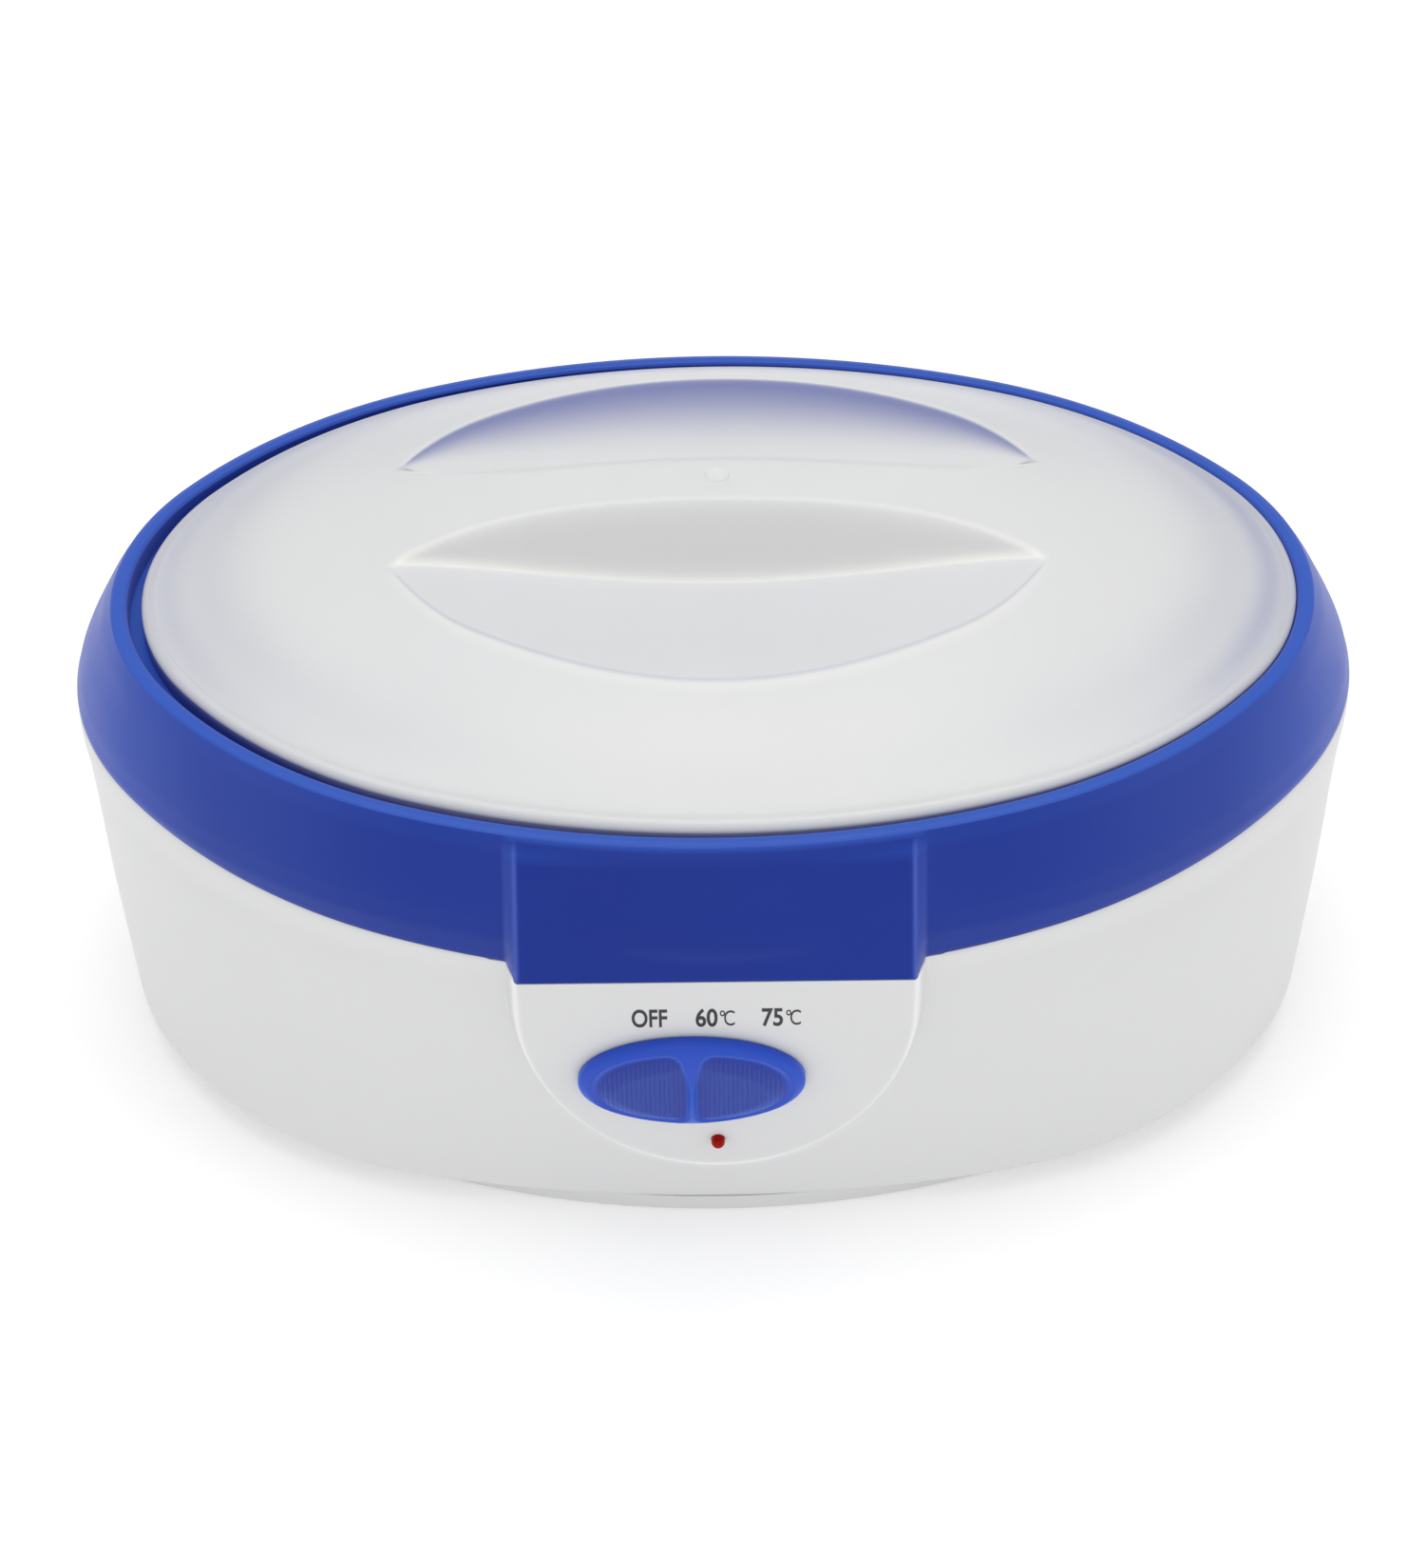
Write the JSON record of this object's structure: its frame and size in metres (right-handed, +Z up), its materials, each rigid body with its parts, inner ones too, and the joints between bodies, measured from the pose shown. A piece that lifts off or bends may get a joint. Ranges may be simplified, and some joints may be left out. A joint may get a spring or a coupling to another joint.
{
  "type": "paraffin wax warmer",
  "caption": "Oval tabletop electric wax warmer with a lift-off domed lid, heated aluminium bath, blue rim, white housing and a slide control with pilot lamp.",
  "frame": {"origin": "On the table under the middle of the body: the centre of the body oval in X and Y, Z zero at the underside of the rubber feet.", "axes": "+X to the right along the long axis of the oval, +Y to the back where the cord leaves, +Z up. The control panel faces -Y."},
  "size_m": [0.37, 0.3534, 0.173],
  "materials": {
    "lid_frosted": "translucent frosted moulding",
    "ring_blue": "satin moulded blue",
    "shell_white": "satin moulded white",
    "foot_rubber": "matt",
    "screw_steel": "zinc plated",
    "pot_aluminium": "anodised, satin",
    "gasket_silicone": "matt",
    "heater_mica": "mica foil laminate",
    "sheet_steel": "plated sheet",
    "insulation_felt": "glass fibre felt",
    "shield_aluminium": "bright sheet",
    "thermostat_ceramic": "unglazed",
    "fuse_metal": "plated",
    "sleeve_white": "woven sleeve",
    "knob_blue": "satin moulded blue",
    "switch_black": "moulded",
    "contact_brass": "stamped",
    "lamp_red": "clear red moulding",
    "block_ivory": "moulded",
    "cord_black": "smooth",
    "wire_red": "wire jacket",
    "wire_brown": "wire jacket",
    "wire_blue": "wire jacket",
    "wire_yellow": "wire jacket",
    "wire_green": "wire jacket"
  },
  "bodies": {
    "housing": {"upper_ring": "ring_blue", "outer_shell": "shell_white", "base_cover": "shell_white", "rubber_feet": "foot_rubber", "base_screws": "screw_steel", "ring_screws": "screw_steel", "inner_pot": "pot_aluminium", "pot_nuts": "screw_steel", "pot_gasket": "gasket_silicone", "heater_band": "heater_mica", "heater_straps": "sheet_steel", "strap_screws": "screw_steel", "insulation": "insulation_felt", "heat_shield": "shield_aluminium", "shield_screws": "screw_steel", "thermostat_60": "thermostat_ceramic", "thermostat_75": "thermostat_ceramic", "thermostat_clips": "sheet_steel", "pot_screws": "screw_steel", "thermal_fuse": "fuse_metal", "fuse_sleeve": "sleeve_white", "fuse_clip": "sheet_steel", "switch_body": "switch_black", "switch_terminals": "contact_brass", "switch_screws": "screw_steel", "lamp_lens": "lamp_red", "lamp_body": "sleeve_white", "lamp_clip": "sheet_steel", "lamp_leads": "wire_red", "terminal_block": "block_ivory", "terminal_screws": "contact_brass", "cord_clamp": "switch_black", "clamp_screws": "screw_steel", "cord_grommet": "cord_black", "mains_cord": "cord_black", "plug_body": "cord_black", "plug_pins": "contact_brass", "wire_live": "wire_brown", "wire_neutral": "wire_blue", "wire_60": "sleeve_white", "wire_75": "wire_yellow", "heater_leads": "sleeve_white", "earth_wire": "wire_green", "earth_tag": "contact_brass", "earth_screw": "screw_steel"},
    "lid": {"lid": "lid_frosted"},
    "slide_control": {"switch_knob": "knob_blue", "switch_carriage": "switch_black", "switch_contact": "contact_brass"}
  },
  "joints": [
    {"name": "lid_lift", "type": "slide", "parent": "housing", "child": "lid", "axis": [0, 0, 1], "range_m": [0, 0.15]},
    {"name": "switch_slide", "type": "slide", "parent": "housing", "child": "slide_control", "axis": [1, 0, 0], "range_m": [0, 0.014]}
  ]
}
